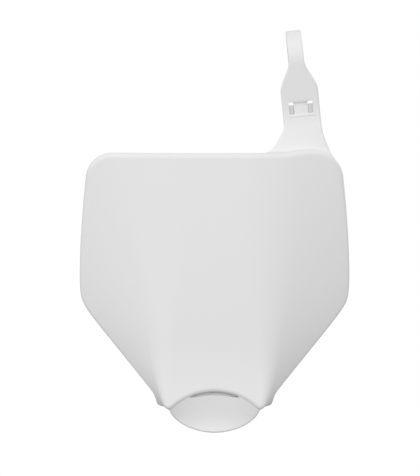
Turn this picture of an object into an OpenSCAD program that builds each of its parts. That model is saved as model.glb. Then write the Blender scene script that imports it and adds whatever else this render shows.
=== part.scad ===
// Front number board for an off-road motorcycle, moulded in one piece.
// +Z is up, the face looks towards -Y, and the centre line lies at X = 0.
// The origin is the middle of the fender slot, at the crown of the bottom arch.

/* [Plate] */
// Width across the widest corners
plate_w = 243; // [220:1:270]
// Height of the top edge above the slot
top_z = 215; // [190:1:240]
// Height of the widest corners above the slot
wide_z = 83; // [75:1:100]
// How much narrower each side is at the top than at the widest corner
side_taper = 6.5; // [3:0.5:12]
// How much the widest corners are rounded off
side_round = 3.3; // [0.8:0.1:5]
// How much the lower edges widen with height
lower_slope = 0.82; // [0.7:0.01:0.95]
// Radius of the two top corners
corner_r = 21; // [14:1:30]
// Wall thickness
wall = 2.6; // [2:0.1:3.4]

/* [Curvature] */
// Angle of the side panels at the top edge
angle_top = 12.5; // [8:0.5:18]
// Angle that the side panels gain by mid height, counted down to the tips
angle_gain = 27; // [20:1:34]
// Extra angle that folds the lowest part into a deep channel
angle_fold = 40.5; // [30:0.5:45]
// Shoulder radius at the top edge
shoulder_r_top = 230; // [160:5:300]
// Shoulder radius at the bottom tips
shoulder_r_tip = 5; // [4:0.5:8]
// Half width between the shoulder lines, on the upper plate
shoulder_x = 50; // [46:1:56]
// How far the bottom edge of the face kicks forward
kick = 6.7; // [3:0.1:10]
// Height at which the face starts to kick forward
kick_z = 45; // [35:1:60]

/* [Rim] */
// Outer radius of the turned-back top rim
rim_r_top = 5; // [4:0.5:7]
// Outer radius of the turned-back side rim
rim_r_side = 3.4; // [3:0.1:4]
// Depth of the flange behind the top rim
flange_top = 8; // [5:0.5:12]
// Depth of the flange behind the side rims
flange_side = 3; // [1:0.5:6]
// How far the top edge rises in front of the strap's neck
neck_rise = 3; // [0:0.2:5]
// Half width of that rise
neck_rise_run = 27; // [20:1:32]

/* [Arch and lug] */
// Width of the arch between the bottom tips
arch_w = 81; // [74:1:86]
// Rise of the arch
arch_rise = 15.6; // [12:0.2:18]
// Drop of the bottom tips below the slot
tip_drop = 13.4; // [11:0.2:16]
// Width of each bottom tip beside the arch, measured to the shoulder line
tip_w = 3; // [2:0.5:4]
// Half width of the channel at the bottom tips
tip_half = 50; // [48:0.5:54]
// How much the channel widens with height at the tips
tip_slope = 0.3; // [0.2:0.05:0.6]
// How far the channel's bottom edge rises towards the rear
tip_rise = 1; // [0:0.5:6]
// How much the lug stands in from each end of the arch
lug_inset = 1; // [0.5:0.1:4]
// Drop of the lug's tip below the slot
lug_drop = 34; // [28:0.5:40]
// How far the lug leans back below the slot
lug_sink = 5.5; // [3:0.5:8]
// How far the lug's lower rim flares forward
lug_flare = 4; // [2:0.5:8]
// Thickness of the lug and of its pocket
lug_t = 2.4; // [2:0.1:3]
// Width of the fender slot
slot_w = 43; // [34:1:50]
// Height of the fender slot at its middle
slot_h = 3.5; // [3:0.1:4]
// Front-to-back gap of the pocket behind the slot
pocket_gap = 7.6; // [6:0.1:9]
// Height of the pocket's rear wall above the slot
pocket_h = 15; // [10:1:22]

/* [Strap] */
// Distance of the strap's root from the centre line
strap_x = 81.3; // [74:0.1:84]
// How far the strap leans towards the centre line
strap_lean = 5.7; // [0:0.1:9]
// Width of the neck and paddle
paddle_w = 33.6; // [30:0.2:38]
// Width of the long strip
strip_w = 13.8; // [12:0.2:16]
// Thickness of the neck and paddle
strap_t = 3; // [2.6:0.1:3.6]
// Thickness of the strip
strip_t = 2.4; // [2:0.1:2.6]
// How far the root spreads towards the centre line
spread_in = 45; // [30:1:48]
// How far the root spreads towards the corner
spread_out = 10; // [5:0.5:12]
// Radius at which the root turns up from the flange
root_r = 5; // [4:0.5:8]
// How far the neck leans back, towards the handlebar
neck_lean = 12; // [4:1:18]
// Length of the straight neck
neck_len = 21; // [16:1:28]
// Radius at which the paddle sways forward
sway_r = 50; // [35:1:70]
// How far the upper paddle leans forward
paddle_lean = 13; // [6:1:18]
// Length from the neck to where the paddle starts to narrow
paddle_len = 33; // [28:1:36]
// Length over which the paddle narrows to the strip
neck_down = 28.5; // [22:0.5:34]
// Length from the sway to the bend over the handlebar
reach = 36; // [30:1:44]
// Radius of the bend that goes over the handlebar
bar_r = 24; // [20:1:28]
// Length of the straight tail behind the handlebar
tail_len = 46; // [40:1:60]

/* [Buckle] */
// Width of the window in the paddle
window_w = 21.4; // [18:0.2:24]
// Height of the window
window_h = 11; // [10:0.2:14]
// Width of the locking tongue in the window
tongue_w = 12.6; // [10:0.2:14]
// Distance from the neck's upper end to the middle of the window
window_up = 18; // [12:0.5:20]
// Depth of the housing behind the window
buckle_d = 6; // [5:0.5:8]
// Wall of the housing
buckle_wall = 1.8; // [1.4:0.1:2.4]
// Spacing of the teeth on the tail
tooth_pitch = 3; // [2.5:0.1:4]
// Height of each tooth
tooth_h = 1; // [0.6:0.1:1.4]

/* [Hidden] */

// Grid counts of the plate: cells across the front, round a shoulder, along a side panel
cells_front = 5;
cells_shoulder = 6;
cells_panel = 4;
cols = cells_front + cells_shoulder + cells_panel;
rim_steps = 3;

// Lowest line of the plate, where the arch springs from the tips
tip_z = -tip_drop;
plate_h = top_z - tip_z;

function unit(v) = v / norm(v);
function clamp01(t) = min(1, max(0, t));
function smooth(t) = let (c = clamp01(t)) c * c * (3 - 2 * c);

// Share of the plate's height below the top edge
function drop(z) = clamp01((top_z - z) / plate_h);

// Angle, radius and place of the fold between the front and a side panel
fold_power = 7;
shoulder_power = 1.4;
function fold_angle(z) = angle_top + angle_gain * drop(z) + angle_fold * pow(drop(z), fold_power);
function fold_radius(z) = shoulder_r_tip
    + (shoulder_r_top - shoulder_r_tip) * pow(1 - drop(z), shoulder_power);
tip_shoulder = arch_w / 2 + tip_w;
shoulder_run = 15;
function fold_x(z) = shoulder_x
    - (shoulder_x - tip_shoulder) * exp(-max(0, z - tip_z) / shoulder_run);
flat_least = 6;
function flat_x(z) = max(flat_least, fold_x(z) - fold_radius(z) * tan(fold_angle(z) / 2));
function fold_end(z) = flat_x(z) + fold_radius(z) * sin(fold_angle(z));

// Depth of the face behind the plane Y = 0 at any point
function centre_y(z) = -kick * pow(max(0, (kick_z - z) / (kick_z - tip_z)), 2);
function section_y(x, z) =
    let (a = abs(x), f = flat_x(z), r = fold_radius(z), e = fold_end(z), t = fold_angle(z))
    a <= f ? 0
    : a <= e ? r - sqrt(max(0, r * r - (a - f) * (a - f)))
    : r * (1 - cos(t)) + (a - e) * tan(t);
function face_y(x, z) = centre_y(z) + section_y(x, z);
function face_normal(x, z) =
    let (h = 0.05)
    unit([(face_y(x + h, z) - face_y(x - h, z)) / (2 * h), -1,
          (face_y(x, z + h) - face_y(x, z - h)) / (2 * h)]);

// Half width of the outline at a height, to the outside of the rim
side_run = top_z - corner_r - wide_z;
tip_round = 1;
function side_line(z) = plate_w / 2 - side_taper * pow(max(0, z - wide_z) / side_run, 2);
function blended(a, b, r) = (a + b) / 2 + sign(r) * sqrt(pow((a - b) / 2, 2) + r * r);
function lower_line(z) = blended(plate_w / 2 - (wide_z - z) * lower_slope,
                                 tip_half + (z - tip_z) * tip_slope, tip_round);
function outline_x(z) = blended(side_line(z), lower_line(z), -side_round);
function rim_r(z) = rim_r_side
    + (rim_r_top - rim_r_side) * smooth((z - top_z + 3 * corner_r) / (2 * corner_r));

// Rows of the grid, from the tips to the straight top edge
grid_top = top_z - rim_r_top;
grid_corner = corner_r - rim_r_top;
low_count = 12;
mid_count = 16;
corner_count = 6;
low_power = 1.15;
low_run = kick_z - tip_z + 8;
rows_low = [for (i = [0:low_count]) tip_z + rim_r_side + low_run * pow(i / low_count, low_power)];
rows_mid = [for (i = [1:mid_count])
    rows_low[low_count] + (grid_top - grid_corner - rows_low[low_count]) * i / mid_count];
rows_corner = [for (i = [1:corner_count])
    grid_top - grid_corner + grid_corner * sin(90 * i / corner_count)];
rows = concat(rows_low, rows_mid, rows_corner);
last_row = len(rows) - 1;

function half_width(z) =
    let (w = outline_x(z) - rim_r(z) * (1 - sin(fold_angle(z))),
         c = max(0, z - grid_top + grid_corner))
    w - grid_corner + sqrt(max(0, grid_corner * grid_corner - c * c));

function col_x(k, z) =
    let (a = abs(k), f = flat_x(z), e = fold_end(z), w = half_width(z))
    sign(k) * (
        a <= cells_front ? f * a / cells_front
        : a <= cells_front + cells_shoulder
            ? f + fold_radius(z) * sin(fold_angle(z) * (a - cells_front) / cells_shoulder)
        : e + (w - e) * (a - cells_front - cells_shoulder) / cells_panel);

// The top edge rises in front of the strap's neck
rise_fade = 16;
rise_shift = 4;
function neck_lift(x) = neck_rise
    * pow(1 - pow(min(1, abs(x - strap_x - rise_shift) / neck_rise_run), 2), 2);

// The rows above the arch bend up over it
arch_r = (pow(arch_w / 2, 2) + arch_rise * arch_rise) / (2 * arch_rise);
arch_fade = 42;
function arch_lift(x) = abs(x) >= arch_w / 2 ? 0
    : sqrt(arch_r * arch_r - x * x) - arch_r + arch_rise;
function rear_lift(x) = tip_rise * clamp01((abs(x) - tip_shoulder) / (half_width(rows[0]) - tip_shoulder));
function row_z(x, z) = let (q = (z - rows[0]) / arch_fade)
    z + arch_lift(x) * pow(1 - clamp01(q), 2) + rear_lift(x) * pow(1 - clamp01(2 * q), 2)
    + neck_lift(x) * smooth(1 - (grid_top - z) / rise_fade);

function face_point(k, j) =
    let (x = col_x(k, rows[j]), z = row_z(x, rows[j]))
    [x, face_y(x, z), z];
function point_normal(p) = face_normal(p[0], p[2]);

// Closed loop round the grid's border, anticlockwise as seen from the front
border = concat(
    [for (k = [-cols:cols]) [k, 0]],
    [for (j = [1:last_row]) [cols, j]],
    [for (k = [cols - 1:-1:-cols]) [k, last_row]],
    [for (j = [last_row - 1:-1:1]) [-cols, j]]);
border_n = len(border);
border_p = [for (b = border) face_point(b[0], b[1])];

// One point of the rim: step 0 lies on the face, the last step is the flange's rear edge
flange_least = 0.4;
flange_start = 25;
function flange_len(p) =
    let (up = smooth((p[2] - top_z + 2.2 * corner_r) / (2 * corner_r)),
         low = smooth((p[2] - tip_z - flange_start) / (2 * flange_start)))
    flange_least + (flange_side - flange_least) * low + (flange_top - flange_side) * up;
function rim_point(i, step, inset) =
    let (p = border_p[i],
         n = point_normal(p),
         run = border_p[(i + 1) % border_n] - border_p[(i + border_n - 1) % border_n],
         out = unit(cross(run - n * (run * n), n)),
         r = rim_r(p[2]),
         turn = acos(max(-1, min(1, out[1]))),
         a = turn * min(step, rim_steps) / rim_steps,
         radial = out * sin(a) + n * cos(a),
         ahead = out * cos(a) - n * sin(a))
    p - n * r + radial * (r - inset) + (step > rim_steps ? ahead * flange_len(p) : [0, 0, 0]);

// Closed wall made of a front grid, a rear grid and the rim that joins them
module plate() {
    width = 2 * cols + 1;
    front = [for (j = [0:last_row]) for (k = [-cols:cols]) face_point(k, j)];
    back = [for (p = front) p - point_normal(p) * wall];
    size = len(front);
    outer = [for (s = [1:rim_steps + 1]) for (i = [0:border_n - 1]) rim_point(i, s, 0)];
    inner = [for (s = [1:rim_steps + 1]) for (i = [0:border_n - 1]) rim_point(i, s, wall)];
    function grid_id(b) = b[1] * width + b[0] + cols;
    function outer_id(s, i) = s == 0 ? grid_id(border[i % border_n])
        : 2 * size + (s - 1) * border_n + i % border_n;
    function inner_id(s, i) = s == 0 ? size + grid_id(border[i % border_n])
        : 2 * size + (rim_steps + s) * border_n + i % border_n;
    grid_faces = [for (j = [0:last_row - 1]) for (i = [0:width - 2])
        let (a = j * width + i) each [
            [a, a + width, a + 1], [a + 1, a + width, a + width + 1],
            [a + size, a + size + 1, a + size + width],
            [a + size + 1, a + size + width + 1, a + size + width]]];
    rim_faces = [for (s = [0:rim_steps]) for (i = [0:border_n - 1]) each [
        [outer_id(s, i), outer_id(s, i + 1), outer_id(s + 1, i)],
        [outer_id(s, i + 1), outer_id(s + 1, i + 1), outer_id(s + 1, i)],
        [inner_id(s, i), inner_id(s + 1, i), inner_id(s, i + 1)],
        [inner_id(s, i + 1), inner_id(s + 1, i), inner_id(s + 1, i + 1)]]];
    edge_faces = [for (i = [0:border_n - 1]) let (s = rim_steps + 1) each [
        [outer_id(s, i), outer_id(s, i + 1), inner_id(s, i)],
        [outer_id(s, i + 1), inner_id(s, i + 1), inner_id(s, i)]]];
    polyhedron(concat(front, back, outer, inner), concat(grid_faces, rim_faces, edge_faces),
               convexity = 6);
}

// Strap: a rounded band that follows a path of straight and curved legs in its side view.
// It runs back over the flange, turns up, sways forward and bends over the handlebar.
root_run = 4;
root_angle = 8;
bend_end = -80;
tail_round = strip_w / 2;
root_turn = 90 - neck_lean - root_angle;
sway_turn = neck_lean + paddle_lean;
bar_turn = bend_end - 90 - paddle_lean;
legs = [ // length and turn of each leg
    [root_run, 0], [root_r * root_turn * PI / 180, root_turn],
    [neck_len, 0], [sway_r * sway_turn * PI / 180, sway_turn],
    [reach, 0], [-bar_r * bar_turn * PI / 180, bar_turn],
    [tail_len, 0]];
root_proud = -0.3;
root_back = 1;
path_start = [rim_r_top - root_back, root_proud - strap_t / 2];
function leg_move(run, a, turn) = turn == 0 ? run * [cos(a), sin(a)]
    : run / (turn * PI / 180) * [sin(a + turn) - sin(a), cos(a) - cos(a + turn)];
function leg_s(i) = i == 0 ? 0 : leg_s(i - 1) + legs[i - 1][0];
function leg_a(i) = i == 0 ? root_angle : leg_a(i - 1) + legs[i - 1][1];
function leg_p(i) = i == 0 ? path_start
    : leg_p(i - 1) + leg_move(legs[i - 1][0], leg_a(i - 1), legs[i - 1][1]);
last_leg = len(legs) - 1;
function leg_of(s, i = 0) = i == last_leg || s < leg_s(i + 1) ? i : leg_of(s, i + 1);
function heading(s) = let (i = leg_of(s)) leg_a(i) + legs[i][1] * (s - leg_s(i)) / legs[i][0];
function path_at(s) = let (i = leg_of(s), run = s - leg_s(i))
    leg_p(i) + leg_move(run, leg_a(i), legs[i][1] * run / legs[i][0]);
s_neck = leg_s(3);
s_taper = s_neck + paddle_len;
s_tail = leg_s(last_leg);
s_end = s_tail + tail_len;

// Width, thickness and round end of the band along its path
function band_half(s) =
    let (q = smooth((s - s_taper) / neck_down), e = clamp01((s - s_end + tail_round) / tail_round))
    (paddle_w / 2 + (strip_w - paddle_w) / 2 * q) * sqrt(max(0.04, 1 - e * e));
function band_t(s) = strap_t + (strip_t - strap_t) * smooth((s - s_taper) / neck_down);
function root_share(s) = clamp01((s_neck - s) / s_neck);
flare_share = 0.42;
flare_power = 6;
out_power = 1.7;
function half_in(s) = let (q = root_share(s))
    band_half(s) + spread_in * (flare_share * q + (1 - flare_share) * pow(q, flare_power));
function half_out(s) = band_half(s) + spread_out * pow(root_share(s), out_power);

// Root of the strap on the top edge: its foot follows the face, and its top is square to it
back_power = 1.5;
rise_power = 3;
strap_root = [strap_x, face_y(strap_x, grid_top), top_z];
corner_x = plate_w / 2 - side_taper - corner_r;
function corner_drop(x) = let (c = min(corner_r, max(0, abs(x) - corner_x)))
    corner_r - sqrt(corner_r * corner_r - c * c);
function foot_shift(x, s) =
    [0, (face_y(x, grid_top) - strap_root[1]) * pow(root_share(s), back_power),
     (neck_lift(x) - corner_drop(x)) * pow(root_share(s), rise_power)];
function strap_place(p, s) =
    let (x = p[0] * cos(strap_lean) - p[2] * sin(strap_lean),
         z = p[0] * sin(strap_lean) * (1 - root_share(s)) + p[2] * cos(strap_lean),
         w = strap_root + [x, p[1], z])
    w + foot_shift(w[0], s);

// How far a piece reaches into the wall that carries it
lap = 0.4;
edge_steps = 4;
function band_ring(s) =
    let (p = path_at(s), a = heading(s), r = band_t(s) / 2, out = [-sin(a), cos(a)])
    [for (side = [1, -1]) for (i = [0:edge_steps])
        let (b = 90 - 180 * i / edge_steps,
             x = side * ((side > 0 ? half_out(s) : half_in(s)) - r + r * cos(b)),
             h = side * r * sin(b))
        strap_place([x, p[0] + out[0] * h, p[1] + out[1] * h], s)];

module strap() {
    steps = [2, 6, 6, 8, 10, 20];
    stations = concat(
        [for (i = [0:len(steps) - 1]) for (j = [0:steps[i] - 1]) leg_s(i) + legs[i][0] * j / steps[i]],
        [for (i = [0:1]) s_tail + (tail_len - tail_round) * i / 2],
        [for (i = [0:5]) s_end - tail_round + tail_round * sin(i * 18)]);
    count = 2 * (edge_steps + 1);
    last = len(stations) - 1;
    points = [for (s = stations) each band_ring(s)];
    skin = [for (j = [0:last - 1]) for (i = [0:count - 1])
        let (a = j * count + i, b = j * count + (i + 1) % count) each [
            [a, a + count, b], [b, a + count, b + count]]];
    caps = [for (i = [1:count - 2]) each [
        [0, i, i + 1], [last * count, last * count + i + 1, last * count + i]]];
    polyhedron(points, concat(skin, caps), convexity = 8);
}

// Moves a child onto the strap: its Z axis runs along the path and its front faces -Y
module on_strap(s) {
    p = path_at(s);
    translate(strap_root) rotate([0, -strap_lean, 0])
        translate([0, p[0], p[1]]) rotate([heading(s) - 90, 0, 0]) children();
}

// Extrudes a side-view outline, given as [y, z] points, across X about its middle
module across(width) {
    translate([-width / 2, 0, 0]) rotate([90, 0, 90]) linear_extrude(width) children();
}

// Locking buckle: the tongue stands in the window, with a walled housing behind it
tongue_over = 0.8;
tongue_tilt = 13;
lip_h = 3;
lip_proud = 1;
bridge_drop = 3.6;
module buckle() {
    rear = strap_t / 2 + buckle_d;
    inner_w = window_w + lap;
    bottom = -window_h / 2;
    // Side walls, floor and bridge of the housing
    for (side = [-1, 1])
        translate([side * (inner_w + buckle_wall) / 2, 0, 0]) across(buckle_wall)
            polygon([[0, bottom - buckle_wall], [rear, bottom - buckle_wall],
                     [rear, window_h / 2 - bridge_drop], [strap_t / 2, window_h / 2 + buckle_wall],
                     [0, window_h / 2 + buckle_wall]]);
    across(inner_w + buckle_wall)
        polygon([[0, bottom - buckle_wall], [rear, bottom - buckle_wall],
                 [rear, window_h / 2 - bridge_drop], [rear - buckle_wall, window_h / 2 - bridge_drop],
                 [rear - buckle_wall, bottom], [0, bottom]]);
    // Tongue, with its barb at the rear of its free end
    tongue_h = window_h + tongue_over;
    translate([0, 0, bottom - 0.2]) rotate([-tongue_tilt, 0, 0]) across(tongue_w)
        polygon([[-strap_t / 2, 0], [strap_t / 2 - 0.4, 0], [strap_t / 2 - 1.2, tongue_h / 2],
                 [strap_t / 2 + 0.9, tongue_h - 1.4], [strap_t / 2 + 0.3, tongue_h],
                 [-strap_t / 2 + 0.4, tongue_h]]);
    // Lip below the window
    translate([0, -strap_t / 2, bottom]) across(window_w + 2)
        polygon([[0.6, 0], [-lip_proud, 0], [0.4, -lip_h], [0.6, -lip_h]]);
}

// Teeth on the rear of the tail
module teeth() {
    count = floor((tail_len - strip_w) / tooth_pitch);
    on_strap(s_tail + 2) across(strip_w - 3)
        polygon(concat([[-strip_t / 2 + 0.3, count * tooth_pitch], [-strip_t / 2 + 0.3, 0]],
            [for (i = [0:count - 1]) each [
                [-strip_t / 2, i * tooth_pitch],
                [-strip_t / 2 - tooth_h, (i + 0.85) * tooth_pitch],
                [-strip_t / 2, (i + 0.95) * tooth_pitch]]]));
}

// Webs under the flange that carry the strap
rib_t = 2;
rib_reach = 16;
module strap_ribs() {
    for (x = [-paddle_w / 4, paddle_w / 4]) {
        y = face_y(strap_x + x, grid_top) + wall - lap;
        heel = strap_root[1] + path_at(leg_s(2))[0] + foot_shift(strap_x + x, leg_s(2))[1] + lap;
        translate([strap_x + x, 0, top_z - wall + neck_lift(strap_x + x)]) across(rib_t)
            polygon([[y, 0.5], [y, -rib_reach], [y + 2, -rib_reach],
                     [heel, -1], [heel + 1.2, wall + 6], [heel, wall + 6], [heel, 0.5]]);
    }
}

// Lug: a curved tongue that hangs from the rear of the arch
lug_w = arch_w - 2 * lug_inset;
lug_lap = 7;
lug_shoulder = 10;
lug_wrap = 4;
lug_power = 5;
function arch_z(x) = tip_z + arch_lift(x);
function lug_low(x) = -lug_shoulder
    - (lug_drop - lug_t / 2 - lug_shoulder) * sqrt(max(0, 1 - pow(2 * x / lug_w, 2)));
function lug_y(x, z) =
    let (q = max(0, (arch_z(x) - z) / lug_drop))
    face_y(x, max(z, arch_z(x))) + wall - lap
        + lug_sink * q - lug_flare * pow(q, lug_power)
        + lug_wrap * pow(abs(2 * x / lug_w), 3) * min(1, 2 * q);
function lug_normal(x, z) = let (h = 0.1)
    unit([(lug_y(x + h, z) - lug_y(x - h, z)) / (2 * h), -1,
          (lug_y(x, z + h) - lug_y(x, z - h)) / (2 * h)]);

module lug_plate() {
    nx = 9;
    nz = 9;
    width = 2 * nx + 1;
    front = [for (j = [0:nz]) for (k = [-nx:nx])
        let (x = lug_w / 2 * sin(88 * k / nx), low = lug_low(x), high = arch_z(x) + lug_lap,
             z = high + (low - high) * j / nz)
        [x, lug_y(x, z), z]];
    back = [for (p = front) p - lug_normal(p[0], p[2]) * lug_t];
    ring = concat([for (k = [0:width - 1]) k], [for (j = [1:nz]) j * width + width - 1],
                  [for (k = [width - 2:-1:0]) nz * width + k], [for (j = [nz - 1:-1:1]) j * width]);
    count = len(ring);
    edge = [for (i = [0:count - 1])
        let (f = front[ring[i]], n = lug_normal(f[0], f[2]),
             run = front[ring[(i + 1) % count]] - front[ring[(i + count - 1) % count]],
             out = unit(cross(n, run - n * (run * n))))
        f - n * lug_t / 2 + out * lug_t / 2];
    size = len(front);
    faces = concat(
        [for (j = [0:nz - 1]) for (i = [0:width - 2]) let (a = j * width + i) each [
            [a, a + 1, a + width], [a + 1, a + width + 1, a + width],
            [a + size, a + size + width, a + size + 1],
            [a + size + 1, a + size + width, a + size + width + 1]]],
        [for (i = [0:count - 1])
            let (a = ring[i], b = ring[(i + 1) % count], c = 2 * size + i, d = 2 * size + (i + 1) % count)
            each [[a, c, b], [b, c, d], [c, a + size, d], [d, a + size, b + size]]]);
    polyhedron(concat(front, back, edge), faces, convexity = 4);
}

// Fender slot: a crescent under the crown of the arch, with a pocket behind it
slot_low_r = 90;
crown_z = arch_z(0);
slot_low = crown_z - slot_h;
floor_drop = 4;
pocket_floor = slot_low - floor_drop;
module slot_cut() {
    span = asin(slot_w / 2 / slot_low_r);
    translate([0, plate_w / 4, 0]) rotate([90, 0, 0]) linear_extrude(plate_w / 2)
        polygon(concat([for (i = [-8:8]) slot_low_r * [sin(span * i / 8), cos(span * i / 8)]
                            + [0, slot_low - slot_low_r]],
                       [[slot_w / 2, crown_z + arch_rise], [-slot_w / 2, crown_z + arch_rise]]));
}
module pocket() {
    levels = [for (i = [0:6]) pocket_floor + lug_t + (pocket_h - pocket_floor - lug_t) * i / 6];
    function skin_y(z) = centre_y(max(z, slot_low)) + wall;
    function gap_y(z) = skin_y(z) + pocket_gap;
    wall_line = [for (z = levels) [gap_y(z), z]];
    rear_line = [for (i = [6:-1:0]) [gap_y(levels[i]) + lug_t, levels[i]]];
    foot_y = lug_y(0, pocket_floor) + lug_t / 2;
    across(slot_w + lug_t)
        polygon(concat(wall_line, rear_line,
            [[gap_y(pocket_floor) + lug_t, pocket_floor], [foot_y, pocket_floor],
             [foot_y, pocket_floor + lug_t]]));
    for (side = [-1, 1])
        translate([side * (slot_w + lug_t) / 2, 0, 0]) across(lug_t)
            polygon(concat([for (z = levels) [skin_y(z) - lap, z]], rear_line,
                [[gap_y(pocket_floor) + lug_t, pocket_floor], [foot_y, pocket_floor]]));
}

// Upright ribs that tie the lug's back to the plate
rib_depth = 4.5;
rib_inset = 5;
module lug_ribs() {
    rib_x = (slot_w + lug_w) / 4 + 1;
    top = arch_z(rib_x) + lug_lap + rib_reach;
    low = lug_low(rib_x) + rib_inset;
    levels = [for (i = [0:8]) low + (top - low) * i / 8];
    function back_y(z) = (z > arch_z(rib_x) + lug_lap ? face_y(rib_x, z) + wall
        : lug_y(rib_x, z) + lug_t) - 0.6;
    for (side = [-1, 1])
        translate([side * rib_x, 0, 0]) across(rib_t)
            polygon(concat([for (z = levels) [back_y(z), z]],
                [for (i = [8:-1:0]) [back_y(levels[i]) + 1 + rib_depth * sin(180 * i / 8), levels[i]]]));
}

module number_board() {
    color("white") union() {
        plate();
        difference() {
            strap();
            on_strap(s_neck + window_up) translate([-window_w / 2, -buckle_d, -window_h / 2])
                cube([window_w, 2 * buckle_d, window_h]);
        }
        on_strap(s_neck + window_up) buckle();
        teeth();
        strap_ribs();
        difference() {
            lug_plate();
            slot_cut();
        }
        pocket();
        lug_ribs();
    }
}

number_board();
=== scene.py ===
"""Front number board for an off-road motorcycle: one white moulding with a handlebar strap.

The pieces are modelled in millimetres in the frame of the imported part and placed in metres.
"""

import logging
import math
from dataclasses import dataclass, field
from enum import Enum
from typing import Any, Callable, Iterable

import bmesh
import bpy
import numpy as np
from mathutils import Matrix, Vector


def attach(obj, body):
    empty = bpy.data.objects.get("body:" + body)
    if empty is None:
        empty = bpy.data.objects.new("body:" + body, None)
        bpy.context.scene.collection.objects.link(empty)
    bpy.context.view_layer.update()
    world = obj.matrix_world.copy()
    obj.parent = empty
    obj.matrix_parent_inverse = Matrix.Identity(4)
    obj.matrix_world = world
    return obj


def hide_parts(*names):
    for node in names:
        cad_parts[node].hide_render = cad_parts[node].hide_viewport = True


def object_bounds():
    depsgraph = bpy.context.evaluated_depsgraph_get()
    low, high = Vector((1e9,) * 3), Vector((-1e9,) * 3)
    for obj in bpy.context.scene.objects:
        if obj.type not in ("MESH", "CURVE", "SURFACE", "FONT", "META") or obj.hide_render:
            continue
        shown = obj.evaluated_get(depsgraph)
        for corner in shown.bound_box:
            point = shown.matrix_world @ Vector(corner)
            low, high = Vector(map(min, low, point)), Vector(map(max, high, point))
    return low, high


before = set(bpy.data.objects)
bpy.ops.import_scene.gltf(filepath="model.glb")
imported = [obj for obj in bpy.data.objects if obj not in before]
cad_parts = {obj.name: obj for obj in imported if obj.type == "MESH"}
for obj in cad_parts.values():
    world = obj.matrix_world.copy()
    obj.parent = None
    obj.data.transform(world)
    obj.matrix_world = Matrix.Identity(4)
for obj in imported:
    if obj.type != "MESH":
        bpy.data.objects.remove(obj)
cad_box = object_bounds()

log = logging.getLogger("number_board")

Array = np.ndarray
BODY = "root"
NODE = "number_board"
MM = 0.001
OVERLAP = 0.4


# Form of the moulding


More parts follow.
